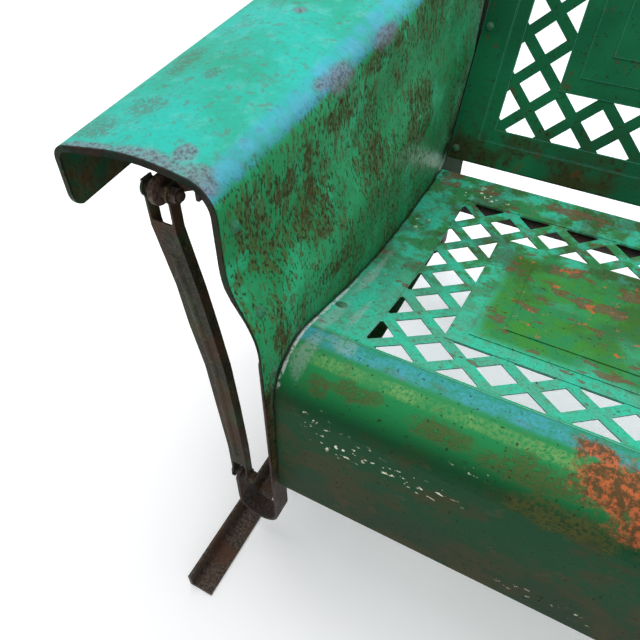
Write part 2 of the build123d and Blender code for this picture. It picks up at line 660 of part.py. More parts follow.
def swing_link(side, end):
    """Stamped channel with its web to the front, cut back to two ears at each pin."""
    front_y, rear_y = -PIN_Y - LINK_DEPTH / 2, -PIN_Y + LINK_DEPTH / 2
    channel = along_y(link_outline(0), front_y, rear_y)
    channel -= along_y(link_outline(LINK_SHEET), front_y + LINK_SHEET, rear_y + 1)
    channel += link_rib()
    for way, (x, z, half, _) in zip((1, -1), pin_rows()):
        channel -= link_notch(x, z, way, half - LINK_SHEET)
        ears = rod_x(x - half, x + half, -PIN_Y, z, EAR_R)
        channel += ears - rod_x(x - half + LINK_SHEET, x + half - LINK_SHEET, -PIN_Y, z, EAR_R + 1)
        channel -= drill((x, -PIN_Y, z), (1, 0, 0), BOLT_R, 4 * half)
    return on_side(at_end(channel, end), side)


def link_notch(x, z, way, width):
    """Cut that takes the web away at one end, between the ears."""
    start = z - way * 24
    front_y = -PIN_Y - LINK_DEPTH
    slot = box(x - width, x + width, front_y, -PIN_Y, *sorted((start, z + way * 20)))
    round_end = Pos(x, front_y + LINK_DEPTH / 2, start) * Rot(90, 0, 0) * Cylinder(width, LINK_DEPTH)
    squash = box(x - width, x + width, front_y, -PIN_Y, *sorted((start - way * 5, start)))
    return slot + (round_end & squash)


def link_rib():
    """Raised rib pressed down the middle of the web."""
    places = [
        (-LOWER_PIN_X - 1, LOWER_PIN_Z + 50),
        (-LOWER_PIN_X - 8, LOWER_PIN_Z + 208),
        (-UPPER_PIN_X + 18, LOWER_PIN_Z + 264),
        (-UPPER_PIN_X + 5.5, UPPER_PIN_Z - 64),
    ]
    face_y = -PIN_Y - LINK_DEPTH / 2
    line = [Vector(x, face_y + RIB_R - RIB_RISE, z) for x, z in places]
    rib = Part() + [Pos(*point) * Sphere(RIB_R) for point in line]
    for start, stop in zip(line, line[1:]):
        way = stop - start
        rib += shank(start, way, RIB_R, way.length)
    return rib & box(-900, -780, face_y - 5, face_y + LINK_SHEET / 2, 0, 600)


def pivot_bolts(side, end):
    """Upper and lower pivot bolts of one link, which turn with it."""
    bolts = [hex_bolt((x - half, -PIN_Y, z), (-1, 0, 0), 2 * half, BOLT_R) for x, z, half, _ in pin_rows()]
    return [on_side(at_end(bolt, end), side) for bolt in bolts]


def spacers(side, end):
    """Tubes on the pivot bolts that keep each link central on its bracket."""
    tubes = []
    for x, z, half, plate in pin_rows():
        for way in (-1, 1):
            near = x + way * (plate / 2 + 0.4)
            far = x + way * (half - LINK_SHEET)
            x0, x1 = sorted((near, far))
            tube = rod_x(x0, x1, -PIN_Y, z, SPACER_R) - rod_x(x0 - 1, x1 + 1, -PIN_Y, z, BOLT_R)
            tubes.append(on_side(at_end(tube, end), side))
    return tubes


# ---- base ----------------------------------------------------------------------------------------
def angle_along_y(points, half_length):
    """Bar of constant section along Y, its sharp edges just broken."""
    outline = fillet(Polygon(*points, align=None).vertices(), BROKEN_EDGE)
    return along_y(outline, -half_length, half_length)


def base_rail(side):
    """Angle on the floor, its upright leg outboard."""
    x, wall = -BASE_X, ANGLE_WALL
    points = [
        (x, 0), (x + RAIL_LEG, 0), (x + RAIL_LEG, wall),
        (x + wall, wall), (x + wall, RAIL_HEIGHT), (x, RAIL_HEIGHT),
    ]
    rail = angle_along_y(points, RAIL_Y)
    bolt_y = upright_y(RAIL_BOLT_Z)
    cutters = [drill((x, way * bolt_y, RAIL_BOLT_Z), (1, 0, 0), SMALL_BOLT_R) for way in (-1, 1)]
    for y in STRETCHERS_Y:
        cutters.append(drill((STRETCHER_RIVET_X, y + STRETCHER_RIVET_IN, 0), (0, 0, 1), SMALL_BOLT_R))
    return on_side(rail - cutters, side)


def top_bar(side):
    """Angle under an arm, its flat leg on top and outboard."""
    x, wall, z = -BASE_X, ANGLE_WALL, TOP_BAR_Z
    points = [
        (x + wall, z - TOP_BAR_HEIGHT), (x + wall, z), (x - TOP_BAR_LEG, z),
        (x - TOP_BAR_LEG, z - wall), (x, z - wall), (x, z - TOP_BAR_HEIGHT),
    ]
    bar = angle_along_y(points, TOP_BAR_Y)
    places = [(way * upright_y(TOP_BOLT_Z), TOP_BOLT_Z) for way in (-1, 1)]
    places += [(way * BRACKET_BOLT_Y, bolt_z) for way in (-1, 1) for bolt_z in BRACKET_BOLTS_Z]
    bar -= [drill((x, y, bolt_z), (1, 0, 0), SMALL_BOLT_R) for y, bolt_z in places]
    return on_side(bar, side)


def upright_y(z):
    """Middle of an upright at a height, as a distance from the middle of the base."""
    return UPRIGHT_FOOT_Y + UPRIGHT_LEAN * z / TOP_BAR_Z


def upright(side, end):
    """Flat bar from a rail to the top bar, leaning out to its end."""
    low, high, half = ANGLE_WALL + 2.0, TOP_BAR_Z - ANGLE_WALL, UPRIGHT_WIDTH / 2
    points = [
        (-upright_y(low) - half, low), (-upright_y(low) + half, low),
        (-upright_y(high) + half, high), (-upright_y(high) - half, high),
    ]
    outline = fillet(Polygon(*points, align=None).vertices(), 3)
    inner = -BASE_X + ANGLE_WALL
    bar = along_x(outline, inner, inner + UPRIGHT_WALL)
    bar -= [drill((inner, -upright_y(z), z), (1, 0, 0), SMALL_BOLT_R) for z in (RAIL_BOLT_Z, TOP_BOLT_Z)]
    return on_side(at_end(bar, end), side)


def pivot_bracket(side, end):
    """Plate on the end of a top bar, set outboard into the head of the link."""
    inner = -UPPER_PIN_X + TONGUE / 2
    points = [(-BASE_X, -256), (-BASE_X, -281), (inner, -294), (inner, -PIN_Y)]
    plate = extrude(section(points, [6.0, 6.0], 0.0, -TONGUE), 2 * EYE_R, dir=(0, 0, 1))
    plate = Pos(0, 0, UPPER_PIN_Z - EYE_R) * plate
    plate += rod_x(inner - TONGUE, inner, -PIN_Y, UPPER_PIN_Z, EYE_R)
    cutters = [drill((inner, -PIN_Y, UPPER_PIN_Z), (1, 0, 0), BOLT_R + RUNNING)]
    cutters += [drill((-BASE_X, BRACKET_BOLT_Y, z), (1, 0, 0), SMALL_BOLT_R) for z in BRACKET_BOLTS_Z]
    return on_side(at_end(plate - cutters, end), side)


def stretcher(y):
    half = BASE_X - ANGLE_WALL - BROKEN_EDGE - 0.3    # just clear of the rounded root of the rail
    bar = angle_along_x(y, ANGLE_WALL, STRETCHER_LEG, STRETCHER_HEIGHT, ANGLE_WALL, half)
    for way in (-1, 1):
        place = (way * STRETCHER_RIVET_X, y + STRETCHER_RIVET_IN, 0)
        bar -= drill(place, (0, 0, 1), SMALL_BOLT_R)
    return bar


def stretcher_rivets():
    """Rivets with flush tails, so that the rails lie flat."""
    rivets = []
    for y in STRETCHERS_Y:
        for way in (-1, 1):
            head = Vector(way * STRETCHER_RIVET_X, y + STRETCHER_RIVET_IN, 2 * ANGLE_WALL)
            body = shank(head - Vector(0, 0, 2 * ANGLE_WALL), (0, 0, 1), SMALL_BOLT_R, 2 * ANGLE_WALL)
            rivets.append(body + dome(head, (0, 0, 1), 2 * SMALL_BOLT_R, SMALL_BOLT_R))
    return rivets


def base_bolts():
    bolts = []
    for side in SIDES:
        for way in ENDS.values():
            for z in (RAIL_BOLT_Z, TOP_BOLT_Z):
                head = (-BASE_X, way * upright_y(z), z)
                bolts.append(on_side(hex_bolt(head, (-1, 0, 0), ANGLE_WALL + UPRIGHT_WALL), side))
            for z in BRACKET_BOLTS_Z:
                head = (-BASE_X - TONGUE, way * BRACKET_BOLT_Y, z)
                bolts.append(on_side(hex_bolt(head, (-1, 0, 0), ANGLE_WALL + TONGUE), side))
    return bolts


# ---- writing the parts -----------------------------------------------------------------------------
def write(name, shape):
    if isinstance(shape, list):
        shape = Compound(children=shape)
    export_step(shape, f"parts/{name}.step")


write("seat_pan", seat_pan())
write("back_panel", back_panel())
write("seat_front_rail", seat_front_rail())
write("seat_rear_rail", seat_rear_rail())
write("front_cross_rail", cross_rail(FRONT_RAIL_Y, 1))
write("rear_cross_rail", cross_rail(REAR_RAIL_Y, -1))
write("seat_screws", seat_screws())
write("hanger_bolts", hanger_bolts())
write("back_bolts", back_bolts())
write("base_bolts", base_bolts())
write("stretcher_rivets", stretcher_rivets())
for band in range(1, BAYS):
    write(f"seat_brace_{band}", seat_brace(lattice_x(band * BAY)))
for number, y in enumerate(STRETCHERS_Y, start=1):
    write(f"base_stretcher_{number}", stretcher(y))
for side in SIDES:
    write(f"arm_panel_{side}", arm_panel(side))
    write(f"arm_post_{side}", arm_post(side))
    write(f"panel_rivets_{side}", panel_rivets(side))
    write(f"back_angle_{side}", back_angle(side))
    write(f"base_rail_{side}", base_rail(side))
    write(f"base_top_bar_{side}", top_bar(side))
    for end in ENDS:
        write(f"hanger_strap_{end}_{side}", hanger_strap(side, end))
        write(f"swing_link_{end}_{side}", swing_link(side, end))
        write(f"pivot_bolts_{end}_{side}", pivot_bolts(side, end))
        write(f"link_spacers_{end}_{side}", spacers(side, end))
        write(f"base_upright_{end}_{side}", upright(side, end))
        write(f"pivot_bracket_{end}_{side}", pivot_bracket(side, end))
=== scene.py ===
import json
import math

import bpy
from mathutils import Matrix, Vector

# The looks of the porch glider. Lengths are metres in the frame of the part: +X along the
# seat, -Y to the front, +Z up. Every material is built from nodes on object coordinates, so
# its wear stays with the part when the part moves.

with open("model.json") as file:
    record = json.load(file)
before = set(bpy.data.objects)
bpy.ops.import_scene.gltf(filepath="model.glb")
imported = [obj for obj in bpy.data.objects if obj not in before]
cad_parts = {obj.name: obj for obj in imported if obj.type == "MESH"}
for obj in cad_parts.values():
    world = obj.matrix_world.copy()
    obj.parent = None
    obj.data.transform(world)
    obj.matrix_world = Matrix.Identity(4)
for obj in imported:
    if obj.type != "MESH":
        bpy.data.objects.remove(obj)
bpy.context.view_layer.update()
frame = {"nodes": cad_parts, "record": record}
nodes = frame["nodes"]

# ---- camera ---------------------------------------------------------------------------
CAMERA_PLACE = (-0.5597, -0.6090, 0.7987)
CAMERA_AZIMUTH = math.radians(27.669)
CAMERA_ELEVATION = math.radians(45.965)
CAMERA_ROLL = math.radians(0.196)
CAMERA_LENS = 33.36     # millimetres
SENSOR_WIDTH = 36.0     # millimetres
NEAREST = 0.01


def add_camera():
    """Camera at the viewing angle of the photograph."""
    data = bpy.data.cameras.new("camera")
    data.lens = CAMERA_LENS
    data.sensor_width = SENSOR_WIDTH
    data.clip_start = NEAREST
    camera = bpy.data.objects.new("camera", data)
    bpy.context.scene.collection.objects.link(camera)
    level = math.cos(CAMERA_ELEVATION)
    back = Vector((
        math.sin(CAMERA_AZIMUTH) * level,
        -math.cos(CAMERA_AZIMUTH) * level,
        math.sin(CAMERA_ELEVATION),
    ))
    right = (-back).cross(Vector((0, 0, 1))).normalized()
    up = right.cross(-back)
    rolled_right = right * math.cos(CAMERA_ROLL) + up * math.sin(CAMERA_ROLL)
    rolled_up = up * math.cos(CAMERA_ROLL) - right * math.sin(CAMERA_ROLL)
    turn = Matrix((rolled_right, rolled_up, back)).transposed()
    camera.matrix_world = Matrix.Translation(CAMERA_PLACE) @ turn.to_4x4()
    bpy.context.scene.camera = camera


# ---- colours --------------------------------------------------------------------------
def srgb(red, green, blue):
    """Linear colour of an 8-bit display colour."""
    shares = [channel / 255 for channel in (red, green, blue)]
    linear = [s / 12.92 if s <= 0.04045 else ((s + 0.055) / 1.055) ** 2.4 for s in shares]
    return (*linear, 1.0)


# rust and bare metal
RUST = srgb(104, 62, 34)
RUST_ORANGE = srgb(186, 96, 58)
RUST_DARK = srgb(50, 38, 26)
OLIVE = srgb(82, 84, 42)
CLOT_PALE = srgb(84, 72, 44)
CLOT_DARK = srgb(60, 46, 30)
FLAKE_GREY = srgb(98, 90, 74)
FLAKE_BROWN = srgb(110, 66, 40)
BURST_BROWN = srgb(92, 66, 42)
BARE = srgb(126, 124, 136)
BARE_DARK = srgb(86, 78, 88)
SILVER = srgb(160, 168, 166)
RUBBED = srgb(188, 192, 188)
CREAM = srgb(226, 224, 196)
STEEL_SPECK = srgb(112, 84, 60)
STEEL_EDGE = srgb(112, 104, 92)

# arms
SIDE_GREEN = srgb(54, 154, 102)
SIDE_DEEP = srgb(42, 132, 80)
SIDE_BRIGHT = srgb(52, 176, 126)
SIDE_LOW = srgb(36, 110, 62)
TOP_TEAL = srgb(42, 176, 160)
TOP_GREEN = srgb(40, 158, 130)
TOP_PALE = srgb(92, 184, 174)
TOP_MOTTLE = srgb(64, 132, 118)
TOP_RUST = srgb(104, 104, 92)
BEND_REFLECTION_BLUE = srgb(84, 160, 198)
HOLLOW_SHADE_GREEN = srgb(26, 56, 38)
HOLLOW_SHADE_BROWN = srgb(62, 42, 28)
EDGE_SHADE_GREEN = srgb(20, 30, 18)
EDGE_SHADE_AND_RUST_BROWN = srgb(44, 28, 18)
LIP_GREEN = srgb(24, 84, 58)
FOOT_BROWN = srgb(78, 48, 32)
SHADE = srgb(26, 30, 18)

# seat
SEAT_TEAL = srgb(54, 182, 148)
SEAT_TEAL_DULL = srgb(76, 164, 134)
SEAT_GRASS = srgb(60, 132, 50)
SEAT_GREEN = srgb(42, 130, 76)
SEAT_EDGE_HIGHLIGHT_AND_WEAR = srgb(130, 200, 194)
BAR_GREY = srgb(96, 112, 84)
GRIME = srgb(74, 96, 78)
ROLL_GREEN = srgb(36, 128, 72)
ROLL_HIGHLIGHT_YELLOW = srgb(150, 180, 104)
CREST_REFLECTION_BLUE = srgb(74, 154, 180)
APRON_SHADE_GREEN = srgb(8, 66, 34)
APRON_LOW_SHADE = srgb(22, 46, 20)
APRON_BROWN = srgb(62, 52, 22)
STAIN_OLIVE = srgb(84, 84, 46)
GAP_DARK = srgb(34, 30, 24)

# back
BACK_GREEN = srgb(26, 110, 70)
BACK_DEEP = srgb(20, 88, 56)
BACK_STAIN = srgb(56, 50, 24)
BACK_SPECK = srgb(58, 40, 26)
BACK_RUST = srgb(86, 60, 36)
BACK_EDGE_HIGHLIGHT_AND_WEAR = srgb(92, 176, 150)

# Steel of each slot: dark, light, rust and, where some is left, the old paint on it.
STEELS = {
    "bolt_paint": (srgb(34, 92, 64), srgb(60, 130, 96), srgb(70, 74, 56), srgb(40, 120, 82)),
    "link_steel": (srgb(22, 20, 12), srgb(50, 50, 28), srgb(66, 42, 22), srgb(50, 66, 36)),
    "strap_steel": (srgb(40, 30, 26), srgb(72, 64, 62), srgb(70, 40, 28)),
    "base_steel": (srgb(44, 36, 30), srgb(98, 84, 72), srgb(84, 54, 38)),
    "underframe_steel": (srgb(28, 26, 22), srgb(60, 54, 48), srgb(66, 42, 30)),
    "bolt_steel": (srgb(28, 24, 20), srgb(70, 62, 54), srgb(74, 46, 32)),
}
PAINT_GLOSS = 0.06      # specular level of the old enamel
STEEL_GLOSS = 0.3       # and of rusted steel

# ---- places on the part ---------------------------------------------------------------
PITCH = 0.064           # spacing of the lattice along the seat
ROW_PITCH = 0.060       # and from front to rear
BAY_LENGTH = 7 * PITCH
LATTICE_HALF = 1.5 * BAY_LENGTH
LATTICE_FRONT = -0.179
SEAT_HALF_DEPTH = 2 * ROW_PITCH
SEAT_MIDDLE_Y = LATTICE_FRONT + SEAT_HALF_DEPTH
PANEL_INSET = 0.40      # of the pressed middle of a bay, in pitches
PANEL_FADE = 0.010
CREST_Y = -0.258        # where the seat turns over to the front
GLOW_Y = -0.281         # where a highlight is painted along the roll
BODY_END = 0.7625       # where the seat meets the side panels
BODY_Y = 0.328          # front and rear edge of the arms
ARM_RISE = 0.085        # the arms climb to the rear
ARM_BEND = 0.5545       # height of the bend between side and top, at the front
BACK_LEAN = 0.437       # how far the back leans to the rear for its height
BACK_FOOT = 0.064       # where its face would meet the floor

# Where a mask turns from 0 to 1. The first two are heights, less the climb of the arm to
# the rear, and the others are X on the left arm.
ARM_TOP = (0.545, 0.560)
LIP_LOW = (0.545, 0.52)
INBOARD_OF_BEND = (-0.815, -0.803)
BEHIND_SIDE = (-0.815, -0.808)
BEHIND_LIP = (-0.930, -0.936)
LIP_FACE = (-0.9500, -0.9512)

# Worn places: the middle of each and its half sizes.
ARM_BARE = [
    ((-0.793, -0.126, 0.563), (0.012, 0.028, 0.014)),
    ((-0.800, -0.150, 0.566), (0.010, 0.022, 0.008)),
    ((-0.789, -0.033, 0.570), (0.010, 0.030, 0.010)),
    ((-0.870, -0.062, 0.590), (0.010, 0.008, 0.010)),
    ((-0.850, -0.326, 0.567), (0.044, 0.014, 0.016)),
    ((-0.913, -0.326, 0.562), (0.034, 0.009, 0.012)),
    ((-0.812, -0.322, 0.559), (0.022, 0.016, 0.012)),
    ((-0.834, -0.304, 0.568), (0.010, 0.014, 0.010)),
]
ARM_STAINS = [
    ((-0.905, -0.262, 0.570), (0.020, 0.018, 0.02)),
    ((-0.924, -0.182, 0.572), (0.014, 0.040, 0.02)),
    ((-0.930, -0.300, 0.562), (0.026, 0.020, 0.02)),
    ((-0.880, -0.200, 0.582), (0.010, 0.012, 0.02)),
    ((-0.868, 0.050, 0.600), (0.020, 0.030, 0.02)),
    ((-0.900, 0.180, 0.605), (0.024, 0.020, 0.02)),
    ((-0.850, 0.240, 0.615), (0.020, 0.030, 0.02)),
]
PANEL_RUST = [
    ((-0.793, -0.235, 0.512), (0.02, 0.040, 0.024)),
    ((-0.794, -0.202, 0.520), (0.02, 0.030, 0.020)),
    ((-0.795, -0.290, 0.510), (0.02, 0.024, 0.030)),
    ((-0.791, -0.128, 0.532), (0.02, 0.050, 0.018)),
    ((-0.790, -0.044, 0.556), (0.02, 0.050, 0.014)),
    ((-0.788, 0.080, 0.570), (0.02, 0.060, 0.014)),
    ((-0.785, -0.190, 0.460), (0.03, 0.050, 0.040)),
    ((-0.780, -0.070, 0.470), (0.03, 0.030, 0.060)),
    ((-0.775, -0.290, 0.400), (0.03, 0.016, 0.050)),
    ((-0.775, 0.060, 0.450), (0.03, 0.050, 0.050)),
    ((-0.775, -0.180, 0.385), (0.03, 0.060, 0.016)),
]
SEAT_SILVER = [
    ((-0.749, -0.275, 0.356), (0.010, 0.030, 0.02)),
    ((-0.752, -0.212, 0.351), (0.008, 0.060, 0.02)),
    ((-0.730, -0.200, 0.345), (0.004, 0.040, 0.02)),
    ((-0.752, -0.100, 0.330), (0.006, 0.070, 0.02)),
    ((-0.720, -0.255, 0.356), (0.020, 0.014, 0.02)),
]
SEAT_CREAM = [
    ((-0.744, -0.104, 0.325), (0.008, 0.016, 0.02)),
    ((-0.746, 0.050, 0.307), (0.012, 0.030, 0.02)),
    ((-0.690, 0.150, 0.308), (0.050, 0.020, 0.02)),
    ((-0.690, -0.318, 0.288), (0.050, 0.010, 0.022)),
    ((-0.620, -0.318, 0.284), (0.060, 0.010, 0.016)),
    ((-0.720, -0.316, 0.310), (0.020, 0.010, 0.020)),
    ((-0.567, -0.312, 0.333), (0.020, 0.010, 0.004)),
    ((-0.457, -0.321, 0.180), (0.050, 0.010, 0.010)),
    ((-0.250, -0.318, 0.290), (0.060, 0.010, 0.020)),
    ((0.420, -0.318, 0.270), (0.080, 0.010, 0.024)),
]
SEAT_ORANGE = [
    ((-0.455, -0.284, 0.356), (0.040, 0.026, 0.026)),
    ((-0.476, -0.262, 0.361), (0.022, 0.012, 0.016)),
    ((-0.420, -0.300, 0.345), (0.040, 0.026, 0.026)),
    ((0.380, -0.290, 0.350), (0.060, 0.026, 0.022)),
    ((0.050, -0.300, 0.340), (0.030, 0.016, 0.016)),
]
SEAT_STAINS = [
    ((-0.520, -0.298, 0.346), (0.050, 0.020, 0.014)),
    ((-0.600, -0.300, 0.350), (0.030, 0.014, 0.010)),
    ((-0.690, -0.296, 0.352), (0.030, 0.012, 0.010)),
    ((-0.725, -0.300, 0.345), (0.014, 0.012, 0.014)),
    ((-0.480, -0.312, 0.322), (0.060, 0.016, 0.020)),
    ((-0.300, -0.305, 0.330), (0.080, 0.020, 0.020)),
    ((0.250, -0.305, 0.330), (0.070, 0.020, 0.024)),
    ((0.600, -0.298, 0.345), (0.060, 0.020, 0.014)),
]
SEAT_FLAKES = [
    ((-0.499, -0.030, 0.316), (0.050, 0.020, 0.03)),
    ((-0.540, 0.050, 0.307), (0.016, 0.030, 0.03)),
    ((-0.547, -0.016, 0.314), (0.016, 0.014, 0.03)),
    ((-0.460, 0.030, 0.310), (0.040, 0.024, 0.03)),
    ((-0.740, 0.150, 0.307), (0.024, 0.036, 0.03)),
    ((-0.690, 0.160, 0.309), (0.030, 0.018, 0.03)),
    ((-0.560, 0.160, 0.309), (0.050, 0.012, 0.03)),
    ((0.050, 0.020, 0.306), (0.070, 0.040, 0.03)),
    ((0.480, -0.010, 0.308), (0.060, 0.050, 0.03)),
]


# ---- node materials -------------------------------------------------------------------
EVEN = (1.0, 1.0, 1.0)
NO_SHIFT = (0.0, 0.0, 0.0)
BLOB_EDGE = (1.15, 0.55)        # where a worn place begins and is whole, in its half sizes
EDGE_RADIUS = 0.0012
EDGE_TURN = (0.985, 0.90)       # cosine between the rounded and the true normal at an edge


class Shader:
    """A node material built step by step.

    Methods return sockets, which later steps use. A mask is a socket that is 1 where
    something lies and 0 elsewhere.
    """

    def __init__(self, name):
        self.material = bpy.data.materials.new(name)
        self.material.use_nodes = True
        self.tree = self.material.node_tree
        self.tree.nodes.clear()
        output = self.add("ShaderNodeOutputMaterial")
        self.surface = self.add("ShaderNodeBsdfPrincipled")
        self.tree.links.new(self.surface.outputs[0], output.inputs["Surface"])
        coordinates = self.add("ShaderNodeTexCoord")
        self.place = coordinates.outputs["Object"]
        self.normal = coordinates.outputs["Normal"]
        self.colour = None

    def add(self, kind):
        return self.tree.nodes.new(kind)

    def put(self, socket, value):
        """Links a socket to another one, or sets its value."""
        if isinstance(value, bpy.types.NodeSocket):
            self.tree.links.new(value, socket)
        else:
            socket.default_value = value

    def vector(self, operation, first, second=(0.0, 0.0, 0.0)):
        node = self.add("ShaderNodeVectorMath")
        node.operation = operation
        self.put(node.inputs[0], first)
        self.put(node.inputs[1], second)
        gives_number = operation in ("LENGTH", "DOT_PRODUCT")
        return node.outputs["Value" if gives_number else "Vector"]

    def math(self, operation, first, second=0.0):
        node = self.add("ShaderNodeMath")
        node.operation = operation
        self.put(node.inputs[0], first)
        self.put(node.inputs[1], second)
        return node.outputs[0]

    def both(self, first, second):
        return self.math("MULTIPLY", first, second)

    def either(self, first, second):
        return self.math("MAXIMUM", first, second)

    def outside(self, mask):
        return self.math("SUBTRACT", 1.0, mask)

    def split(self, vector):
        node = self.add("ShaderNodeSeparateXYZ")
        self.put(node.inputs[0], vector)
        return node.outputs

    def axis(self, name):
        """Coordinate X, Y or Z of a place."""
        return self.split(self.place)[name]

    def step(self, value, low, high):
        """Smooth step that is 0 at low and 1 at high. low may be the greater."""
        node = self.add("ShaderNodeMapRange")
        node.interpolation_type = "SMOOTHSTEP"
        flipped = low > high
        self.put(node.inputs["Value"], value)
        node.inputs["From Min"].default_value = min(low, high)
        node.inputs["From Max"].default_value = max(low, high)
        node.inputs["To Min"].default_value = 1.0 if flipped else 0.0
        node.inputs["To Max"].default_value = 0.0 if flipped else 1.0
        return node.outputs["Result"]

    def band(self, value, centre, half):
        """1 where value is near centre, fading to 0 over as much again."""
        away = self.math("ABSOLUTE", self.math("SUBTRACT", value, centre))
        return self.step(away, 2 * half, half)

    def noise(self, scale, detail=3.0, rough=0.55, stretch=EVEN, shift=NO_SHIFT):
        """Fractal noise, scale in cells a metre."""
        place = self.vector("MULTIPLY", self.place, stretch)
        node = self.add("ShaderNodeTexNoise")
        self.put(node.inputs["Vector"], self.vector("ADD", place, shift))
        node.inputs["Scale"].default_value = scale
        node.inputs["Detail"].default_value = detail
        node.inputs["Roughness"].default_value = rough
        return node.outputs["Fac"]

    def patches(self, low, high, *noise):
        """Mask of the patches where a noise rises from low to high."""
        return self.step(self.noise(*noise), low, high)

    def blob(self, centre, radii, ragged, grain):
        """Mask round a point, 1 at its middle, with an edge that a noise breaks up."""
        away = self.vector("SUBTRACT", self.place, centre)
        reach = self.vector("LENGTH", self.vector("DIVIDE", away, radii))
        break_up = self.both(self.math("SUBTRACT", grain, 0.5), 2 * ragged)
        return self.step(self.math("ADD", reach, break_up), *BLOB_EDGE)

    def blobs(self, places, ragged, grain):
        masks = [self.blob(centre, radii, ragged, grain) for centre, radii in places]
        joined = masks[0]
        for mask in masks[1:]:
            joined = self.either(joined, mask)
        return joined

    def fold_sides(self):
        """From here on the right hand side wears like the left one.

        Returns how far a face looks inboard and how far it looks up.
        """
        place = self.split(self.place)
        facing = self.split(self.normal)
        join = self.add("ShaderNodeCombineXYZ")
        self.put(join.inputs["X"], self.both(self.math("ABSOLUTE", place["X"]), -1.0))
        self.put(join.inputs["Y"], place["Y"])
        self.put(join.inputs["Z"], place["Z"])
        self.place = join.outputs[0]
        inward = self.both(self.math("SIGN", place["X"]), -1.0)
        return self.both(facing["X"], inward), facing["Z"]

    def mix(self, share, under, over):
        """Colour between under and over."""
        node = self.add("ShaderNodeMix")
        node.data_type = "RGBA"
        self.put(node.inputs["Factor"], share)
        self.put(node.inputs["A"], under)
        self.put(node.inputs["B"], over)
        return node.outputs["Result"]

    def blend(self, share, under, over):
        """Number between under and over."""
        node = self.add("ShaderNodeMix")
        self.put(node.inputs["Factor"], share)
        self.put(node.inputs["A"], under)
        self.put(node.inputs["B"], over)
        return node.outputs["Result"]

    def coat(self, mask, tone, strength=1.0):
        """Lays a tone over the colour so far, where the mask is 1."""
        share = mask if strength == 1.0 else self.both(mask, strength)
        self.colour = self.mix(share, self.colour, tone)

    def sharp_edges(self):
        """Mask of the sharp outer edges of a pressed sheet."""
        rounded = self.add("ShaderNodeBevel")
        rounded.samples = 4
        rounded.inputs["Radius"].default_value = EDGE_RADIUS
        true = self.add("ShaderNodeNewGeometry").outputs["True Normal"]
        return self.step(self.vector("DOT_PRODUCT", rounded.outputs[0], true), *EDGE_TURN)

    def enamel_relief(self, pitted, pit_share, grain_share):
        """Relief of old paint: 1 on its face, lower in its pits and its fine grain."""
        grain = self.both(self.noise(420, 3, 0.7), grain_share)
        return self.outside(self.either(self.both(pitted, pit_share), grain))

    def finish(self, roughness, height, depth, specular):
        """Sets the surface. height is a 0 to 1 relief and depth its size in metres."""
        bump = self.add("ShaderNodeBump")
        bump.inputs["Distance"].default_value = depth
        self.put(bump.inputs["Height"], height)
        self.surface.inputs["Specular IOR Level"].default_value = specular
        self.put(self.surface.inputs["Base Color"], self.colour)
        self.put(self.surface.inputs["Roughness"], roughness)
        self.put(self.surface.inputs["Normal"], bump.outputs[0])
        return self.material


# ---- arms -----------------------------------------------------------------------------
def arm_enamel(s, on_top, middle):
    """Green sides, and bluer green tops."""
    soft = s.noise(9, 4)
    side = s.mix(s.step(soft, 0.36, 0.64), SIDE_GREEN, SIDE_DEEP)
    bright = s.patches(0.52, 0.66, 22, 3, 0.6, (1, 1, 0.6), (2, 7, 1))
    side = s.mix(s.both(bright, 0.7), side, SIDE_BRIGHT)
    top = s.mix(s.step(soft, 0.38, 0.62), TOP_TEAL, TOP_GREEN)
    top = s.mix(s.both(s.step(middle, 0.50, 0.68), 0.45), top, TOP_PALE)
    mottled = s.patches(0.46, 0.64, 210, 4, 0.75, EVEN, (6, 4, 1))
    top = s.mix(s.both(mottled, 0.35), top, TOP_MOTTLE)
    s.colour = s.mix(on_top, side, top)
    s.coat(s.step(s.axis("Z"), 0.46, 0.30), SIDE_LOW, 0.35)


def arm_speckle(s, off_top, grain, fine):
    """Near-vertical dark speckle down the sides. Returns the mask of its pits."""
    dense = s.blobs(PANEL_RUST, 0.9, grain)
    field = s.patches(0.40, 0.60, 12, 4, 0.65, (1, 1, 0.6), (3.1, 0.4, 1.7))
    worn = s.both(off_top, s.either(s.both(field, 0.75), dense))
    amount = s.blend(worn, 0.0, 0.13)
    streaks = s.math("ADD", s.noise(150, 3, 0.62, (1.0, 1.0, 0.36)), amount)
    s.coat(s.both(off_top, s.step(streaks, 0.56, 0.64)), OLIVE, 0.70)
    specks = s.math("ADD", s.noise(400, 2, 0.6, (1.0, 1.0, 0.42)), s.both(amount, 0.8))
    dots = s.both(off_top, s.step(specks, 0.60, 0.68))
    s.coat(dots, RUST_DARK, 0.80)
    clots = s.patches(0.50, 0.60, 70, 5, 0.72, (1, 1, 0.5))
    solid = s.both(s.both(dense, off_top), clots)
    s.coat(solid, s.mix(s.step(fine, 0.4, 0.6), CLOT_PALE, CLOT_DARK), 0.75)
    return s.either(dots, solid)


def arm_top_rust(s, on_top, grain, fine):
    """Small grey rust specks and a few stains on top. Returns their mask."""
    specked = s.both(on_top, s.patches(0.585, 0.66, 120, 3, 0.62, (1, 0.8, 1), (5, 1, 2)))
    patched = s.both(s.patches(0.56, 0.64, 30, 4, 0.7, EVEN, (1, 8, 3)), on_top)
    stained = s.both(on_top, s.blobs(ARM_STAINS, 0.8, grain))
    stained = s.both(s.either(stained, s.both(patched, 0.6)), s.step(fine, 0.40, 0.56))
    rusted = s.either(s.both(specked, 0.75), stained)
    s.coat(rusted, TOP_RUST, 0.6)
    return rusted


